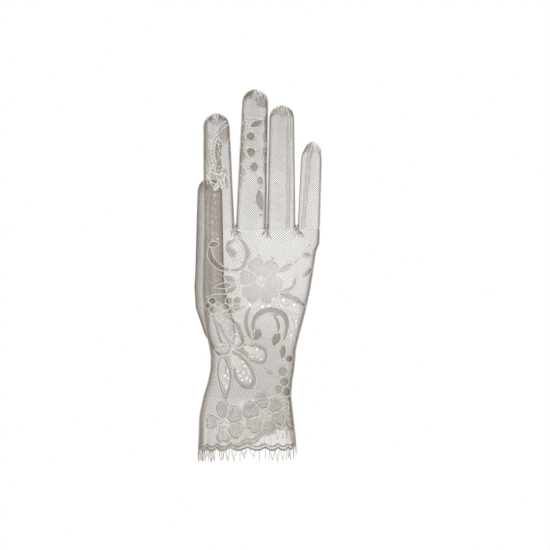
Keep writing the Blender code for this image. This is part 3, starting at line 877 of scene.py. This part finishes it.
def cord_piece(name, paths, kind, material=CORD):
    curve = bpy.data.curves.new(name, "CURVE")
    curve.dimensions = "3D"
    curve.bevel_depth = RADII[kind] * MM
    curve.bevel_resolution = 1
    curve.use_fill_caps = True
    for path in paths:
        if len(path) < 2:
            continue
        spline = curve.splines.new("POLY")
        spline.points.add(len(path) - 1)
        for point, place in zip(spline.points, path):
            point.co = (*place, 1)
    maker = bpy.data.objects.new("maker", curve)
    mesh = bpy.data.meshes.new_from_object(maker)
    bpy.data.objects.remove(maker)
    mesh.name = name
    mesh.shade_smooth()
    return piece(name, mesh, material)


# %% [markdown]
# ## Zones
#
# Each zone of the glove has one joint at most. A zone with no joint rides on one body, and a zone at
# a joint is left fixed where it is. The zones meet half way between two joints.

# %% The zones and how each is held
ZONES = {}
HALF = 8.5 * MM  # of the length over which a bend is shared out


def add_zone(name, bodies, hinge=None, along=UP, half=HALF):
    ZONES[name] = (bodies, hinge, along, half)


def hold(obj, zone):
    bodies, hinge, along, half = ZONES[zone]
    if hinge is None:
        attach(obj, bodies[0])
    else:
        hinge = Vector(hinge)
        tuple(hinge - along * half)
        tuple(hinge + along * half)
        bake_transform(obj)


CUFF_TOP = WRIST - 15 * MM
HAND_LOW = WRIST + 30 * MM
NEAR_HALF = 0.46  # the most of the way to the next joint that a bend's half takes up
add_zone("cuff", ["cuff"])
add_zone("wrist", ["cuff", "hand"], pivot["wrist_bend"], UP, 13.5 * MM)
add_zone("hand", ["hand"])
for name in FINGERS:
    hinges = fingers[name][1]
    bodies = ["hand"] + [f"{name}_{s}" for s in SEGMENTS]
    first, second = (NEAR_HALF * (high - low) for low, high in zip(hinges, hinges[1:]))
    halves = (min(HALF, first, hinges[0] - WEB + 1.5 * MM), min(HALF, first, second), min(HALF, second))
    for k, bend in enumerate(BENDS):
        add_zone(f"{name}_{k}", bodies[k : k + 2], pivot[f"{name}_{bend}_bend"], UP, halves[k])
add_zone("thumb_0", ["hand", "thumb_root"], thumb_root, thumb_along, 10 * MM)
add_zone("thumb_1", ["thumb_root", "thumb_tip"], pivot["thumb_end_bend"], thumb_along)


def finger_zone(name, level):
    hinges = fingers[name][1]
    cuts = [(hinges[0] + hinges[1]) / 2, (hinges[1] + hinges[2]) / 2]
    return f"{name}_{sum(level > cut for cut in cuts)}"


def sleeve_zone(level):
    return "cuff" if level < CUFF_TOP else "wrist" if level < HAND_LOW else "hand"


def place_of(x, z):
    """The form and the zone that a spot of the drawing lies on, in millimetres."""
    level = z * MM
    if level < HAND_TOP:
        return sleeve, sleeve_zone(level)
    name = min(FINGERS, key=lambda n: abs(fingers[n][0].section(level)[0] - x * MM))
    return fingers[name][0], finger_zone(name, level)


# %% [markdown]
# ## The hem's line
#
# The CAD edge gives the height of the hem round the cuff at each notch between two scallops. The
# scallops hang from that line as shallow arcs.

# %% Read the hem from the corded edge
SCALLOPS = 20
edge_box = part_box("scalloped_edge")


def notch_heights():
    mesh = frame["nodes"]["scalloped_edge"].data
    middle = (edge_box[0][0] + edge_box[1][0]) / 2
    half = ((edge_box[1][0] - edge_box[0][0]) / 2, edge_box[1][1])
    lows = {}
    for v in mesh.vertices:
        x, y = (v.co.x - middle) / half[0], v.co.y / half[1]
        x, y = (math.copysign(abs(s) ** 1.15, s) for s in (x, y))
        k = round((math.atan2(y, x) / (2 * math.pi) % 1.0) * SCALLOPS * 3) % (SCALLOPS * 3)
        lows[k] = min(lows.get(k, 1.0), v.co.z)
    return [lows.get(3 * k, lows.get(3 * k + 1)) for k in range(SCALLOPS)]


NOTCHES = notch_heights()
print("hem:", [round(h / MM, 1) for h in NOTCHES])


def hem(turn):
    """The height of the scalloped hem at a turn."""
    place = turn / (2 * math.pi) % 1.0 * SCALLOPS
    k, part = int(place) % SCALLOPS, place % 1.0
    ease = part * part * (3 - 2 * part)
    line = NOTCHES[k] + (NOTCHES[(k + 1) % SCALLOPS] - NOTCHES[k]) * ease
    return line - 2.1 * MM * math.sin(math.pi * part) ** 0.8


FLAT_LEVEL = 34 * MM  # the net's rows are level above this
HEM_LEVEL = 4 * MM


def to_hem(turn, level):
    """Moves the lowest rows of the net so that they follow the scallops."""
    if level >= FLAT_LEVEL:
        return level
    share = (level - HEM_LEVEL) / (FLAT_LEVEL - HEM_LEVEL)
    return hem(turn) + (FLAT_LEVEL - hem(turn)) * share


# %% [markdown]
# ## The sleeve's net
#
# The cuff, the wrist and the hand are one tube of net. The thumb leaves it through a hole in the palm,
# so the net inside the thumb's own tube is cut away.


# %% Where the thumb's tube is
def in_thumb(place, margin=0.0):
    gap = place - thumb.origin
    level = gap.dot(thumb.along)
    if level < thumb.sections[0][0] - 2 * MM or level > THUMB_TOP:
        return False
    mid_x, mid_y, wide, thick = thumb.section(max(level, thumb.sections[0][0]))
    x, y = gap.dot(RIGHT) - mid_x, gap.dot(thumb.deep) - mid_y
    return (x / (wide + margin)) ** 2 + (y / (thick + margin)) ** 2 < 1.0


def in_sleeve(place, margin=0.0):
    if place.z > HAND_TOP:
        return False
    mid_x, _, wide, thick = sleeve.section(place.z)
    p = sleeve.power
    return abs((place.x - mid_x) / (wide - margin)) ** p + abs(place.y / (thick - margin)) ** p < 1.0


# %% Make the sleeve's net
SEAM_WIDTH = 1.3 * MM
HEM_WIDTH = 2.8 * MM


def sleeve_kind(place):
    mid_x, _, wide, thick = sleeve.section(place.z)
    turn = math.atan2(place.y / thick, (place.x - mid_x) / wide)
    if abs(place.y) < SEAM_WIDTH or place.z - hem(turn) < HEM_WIDTH:
        return "petal"
    return filling(place.x / MM, place.z / MM)


GIRTH = 158 * MM
SLEEVE_PITCH = 1.47 * MM
SLEEVE_CLOTH, THUMB_CLOTH = 70 * MM, 44 * MM
SIDES = ((-1, "back"), (1, "palm"))
rows = sleeve.levels(HEM_LEVEL, HAND_TOP, SLEEVE_PITCH)
net = diamond_tube(sleeve, rows, GIRTH / SLEEVE_PITCH, to_hem, free_ends=(1,))
gone = [f for f in net.faces if in_thumb(f.calc_center_median(), -0.3 * MM)]
bmesh.ops.delete(net, geom=gone, context="FACES")
fill_in(net, sleeve_kind)
for zone in ("cuff", "wrist", "hand"):
    for side, word in SIDES:
        belongs = lambda c: sleeve_zone(c.z) == zone and (c.y < 0) == (side < 0)
        hold(net_piece(net, f"{zone}_net_{word}", belongs, SLEEVE_CLOTH), zone)
net.free()

# %% [markdown]
# ## The fingers' nets
#
# Each finger is a tube of the same net, drawn together at its tip. The net is close along both seams
# and at the tip, where the real glove is gathered.


# %% Where the fingers' seams run
# Each seam's turn at the web and at the tip, in degrees. One seam of the ring finger and one of the
# little finger lie twisted round to the back.
STRAIGHT = ((0, 0), (180, 180))
SEAM_TURNS = {"ring": ((-62, -54), (180, 180)), "little": ((0, 0), (-122, -98))}


def seam_turns(name, form, level):
    """The turns of a finger's two seams at a level."""
    share = (level - WEB) / (form.sections[-1][0] - WEB)
    return [math.radians(low + (high - low) * share) for low, high in SEAM_TURNS.get(name, STRAIGHT)]


def near_seam(name, form, place):
    mid_x, mid_y, wide, thick = form.section(place.z)
    turn = math.atan2((place.y - mid_y) / thick, (place.x - mid_x) / wide)
    seams = seam_turns(name, form, place.z)
    away = min(abs((turn - seam + math.pi) % (2 * math.pi) - math.pi) for seam in seams)
    return away * (wide + thick) / 2 < SEAM_WIDTH


# %% Make the fingers' nets
def girth_of(form, level):
    _, _, wide, thick = form.section(level)
    return math.pi * (wide + thick)


def finger_net(form, start, top, widest, pitch=PITCH):
    return diamond_tube(form, form.levels(start, top, pitch), girth_of(form, widest) / pitch, free_ends=(0,))


for name in FINGERS:
    form, hinges, top = fingers[name]
    widest = hinges[0] + 12 * MM
    net = finger_net(form, HAND_TOP, top, widest)

    def finger_kind(place, name=name, form=form, top=top):
        mid_x, mid_y, wide, thick = form.section(place.z)
        turn = math.atan2(place.y - mid_y, place.x - mid_x)
        close = 5.2 + 1.7 * math.sin(3 * turn + 9 * wide / thick)  # the depth of the closer net at the tip
        if place.z > top - close * MM or near_seam(name, form, place):
            return "petal"
        return filling(place.x / MM, place.z / MM)

    fill_in(net, finger_kind)
    for k in range(3):
        zone = f"{name}_{k}"
        width = girth_of(form, widest) / STRETCH
        hold(net_piece(net, f"{zone}_net", lambda c: finger_zone(name, c.z) == zone, width), zone)
    net.free()

# %% Make the thumb's net
THUMB_PITCH = 1.24 * MM
net = finger_net(thumb, thumb.sections[0][0], THUMB_TOP, THUMB_BEND / 2, THUMB_PITCH)
gone = [f for f in net.faces if in_sleeve(f.calc_center_median(), -0.2 * MM)]
bmesh.ops.delete(net, geom=gone, context="FACES")


def thumb_level(place):
    return (place - thumb.origin).dot(thumb.along)


fill_in(net, lambda place: "petal" if thumb_level(place) > THUMB_TOP - 5.5 * MM else "ground")
for k in range(2):
    belongs = lambda c: (thumb_level(c) > THUMB_BEND / 2) == (k == 1)
    hold(net_piece(net, f"thumb_{k}_net", belongs, THUMB_CLOTH), f"thumb_{k}")
net.free()

# %% [markdown]
# ## The outline cord
#
# The same drawing is on the back and on the palm, because both are cut from one repeat of the lace.

# %% Lay the cords
LIFT = 0.28 * MM  # of a cord above the net
NEAR_THUMB = 0.4 * MM  # how close to the thumb's tube the palm's cords end


def spot_on(x, z, side):
    """Where a spot of the drawing lies, and its zone, which is None in the thumb's tube."""
    form, zone = place_of(x, z)
    place = form.drape(x * MM, z * MM, side, LIFT)
    return place, None if side > 0 and in_thumb(place, NEAR_THUMB) else zone


def share_out(spots, kept):
    """Cuts a path of (place, zone) where it crosses from one zone to the next, or has no zone."""
    run, last = [], None
    for place, zone in (*spots, (None, None)):
        if last and zone != last:
            kept.setdefault(last, []).append(run + [place] if zone else run)
            run = []
        if zone:
            run.append(place)
        last = zone


def hold_cords(kept, kind):
    """One piece of cord for each zone."""
    for zone, paths in kept.items():
        hold(cord_piece(f"{zone}_{kind}", paths, kind), zone)
    print(f"{kind}: {sum(map(len, kept.values()))} lengths in {len(kept)} zones")


def wobble():
    return random.uniform(-0.06, 0.06)


cords = {}
for path in STEMS:
    for side, _ in SIDES:
        share_out([spot_on(x + wobble(), z + wobble(), side) for x, z in path], cords)
hold_cords(cords, "cord")


# %% Satin hearts
HEART_THICKNESS = 0.45 * MM


def heart_piece(name, outline, side):
    """A solid satin-stitched leaf: its outline filled and given a thickness."""
    bm = bmesh.new()
    verts = [bm.verts.new(place_of(*p)[0].drape(p[0] * MM, p[1] * MM, side, 0.05 * MM)) for p in outline]
    face = bm.faces.new(verts)
    bmesh.ops.inset_individual(bm, faces=[face], thickness=0.5 * MM, depth=0.0)
    bmesh.ops.recalc_face_normals(bm, faces=bm.faces)
    grown = bmesh.ops.extrude_face_region(bm, geom=list(bm.faces))["geom"]
    moved = [g for g in grown if isinstance(g, bmesh.types.BMVert)]
    bmesh.ops.translate(bm, verts=moved, vec=Vector((0, side, 0)) * HEART_THICKNESS)
    bmesh.ops.recalc_face_normals(bm, faces=bm.faces)
    return piece(name, to_mesh(bm, name), SATIN)


hearts = [outline for kind, outline, *_ in SHAPES if kind == "satin"]
for count, outline in enumerate(hearts):
    for side, word in SIDES:
        obj = heart_piece(f"satin_heart_{count}_{word}", outline, side)
        hold(obj, place_of(*outline[len(outline) // 2])[1])


# %% Knots
def knot_piece(name, knots, radius):
    """Small raised knots, each a low icosphere."""
    bm = bmesh.new()
    for place, size in knots:
        made = bmesh.ops.create_icosphere(bm, subdivisions=1, radius=radius * size)["verts"]
        bmesh.ops.translate(bm, verts=made, vec=place)
    return piece(name, to_mesh(bm, name), CORD)


picots = {}


def add_picot(x, z, side, size=None):
    """A knot on the drawing, small and of a random size if none is given."""
    place, zone = spot_on(x, z, side)
    if zone:
        picots.setdefault(zone, []).append((place, size or random.uniform(0.5, 0.8)))


for x, z, size in KNOTS:
    for side, _ in SIDES:
        for _ in range(3):
            add_picot(x + random.uniform(-0.5, 0.5) * size, z + random.uniform(-0.5, 0.5) * size, side, size)
for path in STEMS:
    for x, z in path[:: random.choice((5, 7, 9))]:
        for side, _ in SIDES:
            add_picot(x, z, side)
for zone, knots in picots.items():
    hold(knot_piece(f"{zone}_picots", knots, PICOT_RADIUS), zone)

# %% [markdown]
# ## Seams
#
# The back and the palm are joined by an overlocked seam down each side of every finger and of the
# hand. An overlock is a zigzag of thread over the edge, so a zigzag runs on each side of a cord.


# %% Sew the seams
def seam_paths(form, levels, turn_at, lift=0.35 * MM, reach=0.85 * MM):
    line = [form.point(turn_at(level), level, lift) for level in levels]
    zigzag = []
    for low, high in zip(levels, levels[1:]):
        for here, swing in ((low, -reach), (low + (high - low) * 0.5, reach)):
            turn = turn_at(here) + swing / max(form.section(here)[2], 2 * MM) * random.uniform(0.7, 1.1)
            zigzag.append(form.point(turn, here, lift * 1.3))
    return line, zigzag


SEAM_END = 0.3 * MM  # below a tip
seams = {}


def sew(form, start, end, turn_at, zone_of):
    for path in seam_paths(form, form.levels(start, end, 1 * MM), turn_at):
        spots = [(place, zone_of(place)) for place in path]
        share_out([spot for spot in spots if spot[1]], seams)


def thumb_zone(place):
    return None if in_sleeve(place) else f"thumb_{int(thumb_level(place) > THUMB_BEND / 2)}"


for k, turn in enumerate((0.0, math.pi)):
    sew(sleeve, hem(turn), HAND_TOP, lambda level: turn, lambda p: sleeve_zone(p.z))
    for name in FINGERS:
        form, _, top = fingers[name]
        turn_at = lambda level: seam_turns(name, form, level)[k]
        sew(form, WEB, top - SEAM_END, turn_at, lambda p: finger_zone(name, p.z))
    sew(thumb, -40 * MM, THUMB_TOP - SEAM_END, lambda level: turn + math.pi / 2, thumb_zone)
hold_cords(seams, "seam")

# %% [markdown]
# ## Gathers
#
# Each finger is drawn together at its tip, and the stitches that do it show as a small fan of
# thread. The same happens where two fingers meet, where the hand's net is bunched into the seam.

# %% Draw in the fingertips
gathers = {}


def fan(form, top, zone, middle, spread, count, reach):
    """Short stitches from a tube's tip, round a middle turn."""
    for _ in range(count):
        turn = middle + random.uniform(-spread, spread)
        end = top - random.uniform(0.45, 1.0) * reach
        bend = random.uniform(-0.25, 0.25)
        levels = [top - 0.5 * MM + (end - top) * k / 6 for k in range(7)]
        path = [form.point(turn + bend * k / 6, level, 0.3 * MM) for k, level in enumerate(levels)]
        gathers.setdefault(zone, []).append(path)


# The middle turn and the reach in millimetres of the back's stitches, for each finger.
FANS = ((-2.2, 5.0), (-0.6, 8.0), (-2.6, 6.0), (-0.9, 6.5))
for name, (middle, reach) in zip(FINGERS, FANS):
    form, _, top = fingers[name]
    fan(form, top, f"{name}_2", middle, 1.0, 16, reach * MM)
    fan(form, top, f"{name}_2", math.pi / 2, math.pi, 16, 0.7 * reach * MM)
fan(thumb, THUMB_TOP, "thumb_1", 0.0, math.pi, 20, 5 * MM)
hold_cords(gathers, "gather")

# %% [markdown]
# ## Between the fingers
#
# A small diamond of net closes each gap between two fingers, and the seams meet there in a gather of
# knotted thread.


# %% Webs
def web_piece(left, right):
    a, b = fingers[left][0], fingers[right][0]
    _, _, _, thick = a.section(WEB)
    bm = bmesh.new()
    bmesh.ops.create_grid(bm, x_segments=5, y_segments=14, size=1)
    for v in bm.verts:
        u, w = v.co.x, v.co.y
        level = WEB + (0.9 + 1.1 * abs(u)) * MM - 3.4 * MM * w * w
        mid_a, _, wide_a, _ = a.section(level)
        mid_b, _, wide_b, _ = b.section(level)
        low, high = mid_a + wide_a * CROTCH, mid_b - wide_b * CROTCH
        v.co = (low + (high - low) * (u + 1) / 2, w * thick * 0.86, level)
    to_threads(bm, THREAD)
    name = f"web_{left}_{right}"
    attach(piece(name, to_mesh(bm, name), NET_PAINTED_SHADE), "hand")
    middle = (a.section(WEB)[0] + a.section(WEB)[2] + b.section(WEB)[0] - b.section(WEB)[2]) / 2
    gather = []
    for _ in range(26):
        side = random.choice((-1, 1))
        x = middle + random.gauss(0, 0.9) * MM
        y = side * thick * random.uniform(0.72, 0.9)
        spot = Vector((x, y, WEB - random.uniform(-1.5, 2.6) * MM))
        gather.append((spot, random.uniform(0.6, 1.1)))
    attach(knot_piece(f"gather_{left}_{right}", gather, KNOT_RADIUS), "hand")
    stitches = []
    for _ in range(22):
        side = random.choice((-1, 1))
        lean, drop = random.gauss(0, 2.0) * MM, random.uniform(1.5, 6.0) * MM
        path = []
        for t in (k / 5 for k in range(6)):
            x = middle + random.gauss(0, 0.25) * MM + lean * t
            path.append(sleeve.drape(x, HAND_TOP - 0.2 * MM - drop * t, side, 0.35 * MM))
        stitches.append(path)
    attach(cord_piece(f"gather_stitches_{left}_{right}", stitches, "stitch"), "hand")


for left, right in zip(FINGERS, FINGERS[1:]):
    web_piece(left, right)

# %% [markdown]
# ## The hem and its fringe
#
# Two cords lie together on the scallops' edge, and a third follows it a little higher. Below hangs
# the eyelash fringe: loose threads, most in pairs whose ends cling together.


# %% Corded edge
def round_hem(raised, lift, step=0.9):
    """A path round the hem, raised and lifted off the skin by millimetres."""
    count = round(GIRTH / (step * MM))
    turns = [2 * math.pi * k / count for k in range(count + 1)]
    return [sleeve.point(turn, hem(turn) + raised * MM, lift * MM) for turn in turns]


edge = [round_hem(0.15, 0.2), round_hem(0.55, 0.35), round_hem(2.7, 0.3)]
obj = cord_piece("edge_cords", edge, "edge", EDGE_PAINTED_SHADE)
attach(obj, "cuff")
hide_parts("scalloped_edge")

# %% Eyelash fringe
lashes = []
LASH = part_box("scalloped_edge")[0][2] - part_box("eyelash_fringe")[0][2]
turn = 0.0
while turn < 2 * math.pi:
    gap = random.uniform(1.4, 3.2) / 26
    pair = random.random() < 0.6
    length = LASH * random.uniform(0.62, 1.0)
    meet = turn + gap * random.uniform(0.3, 0.7)
    swing = random.uniform(-0.6, 0.9) * MM
    for start in (turn, turn + gap) if pair else (turn,):
        top = hem(start) + 0.2 * MM
        path = []
        for t in (k / 8 for k in range(9)):
            here = start + (meet - start) * (t**1.3 if pair else 0.25 * t)
            drop = length * (t if pair else t * random.uniform(0.96, 1.0))
            path.append(sleeve.point(here, top - drop, swing * math.sin(math.pi * t) - 0.2 * MM * t))
        lashes.append(path)
    turn += gap * random.uniform(1.05, 1.5)
obj = cord_piece("eyelash_threads", lashes, "lash", EDGE_PAINTED_SHADE)
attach(obj, "cuff")
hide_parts("eyelash_fringe")
print("fringe:", len(lashes), "threads")

# %% [markdown]
# ## Hand over from the CAD
#
# Every CAD skin is hidden by the lace that stands for it. The CAD skins stay in the physics model.

# %% Say what replaces what
for _, side in SIDES:
    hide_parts(f"cuff_{side}_panel")
    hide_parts(f"wrist_gusset_{side}")
    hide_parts(f"hand_{side}_panel")
for name in FINGERS:
    for k, segment in enumerate(SEGMENTS):
        nodes = [f"{name}_{segment}_{side}" for side in ("back", "palm", "gusset_palm")]
        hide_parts(*nodes)
for left, right in zip(FINGERS, FINGERS[1:]):
    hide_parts(f"web_gusset_{left}_{right}")
thumb_root_nodes = [f"thumb_root_{part}" for part in ("outer", "inner", "gusset_outer", "gusset_inner")]
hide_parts(*thumb_root_nodes)
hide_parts("thumb_tip_outer", "thumb_tip_inner", "thumb_tip_gusset_inner")

# %% Floor
FLOOR_LEVEL = -0.105
bm = bmesh.new()
bmesh.ops.create_circle(bm, cap_ends=True, segments=96, radius=0.25)
bmesh.ops.translate(bm, verts=bm.verts, vec=(0, 0, FLOOR_LEVEL))
floor_mesh = to_mesh(bm, "floor")
pale = Finish("pale_floor", Roughness=0.8)
pale.shader.inputs["Base Color"].default_value = (0.86, 0.855, 0.845, 1)
floor_mesh.materials.append(pale.material)
floor = new_object("floor", floor_mesh)

# %% Count the triangles
shown = [o for o in bpy.data.objects if o.type == "MESH" and o.name not in frame["nodes"]]
count = {o.name: sum(len(p.vertices) - 2 for p in o.data.polygons) for o in shown}
print("triangles:", sum(count.values()), "the most in one piece:", max(count.values()))
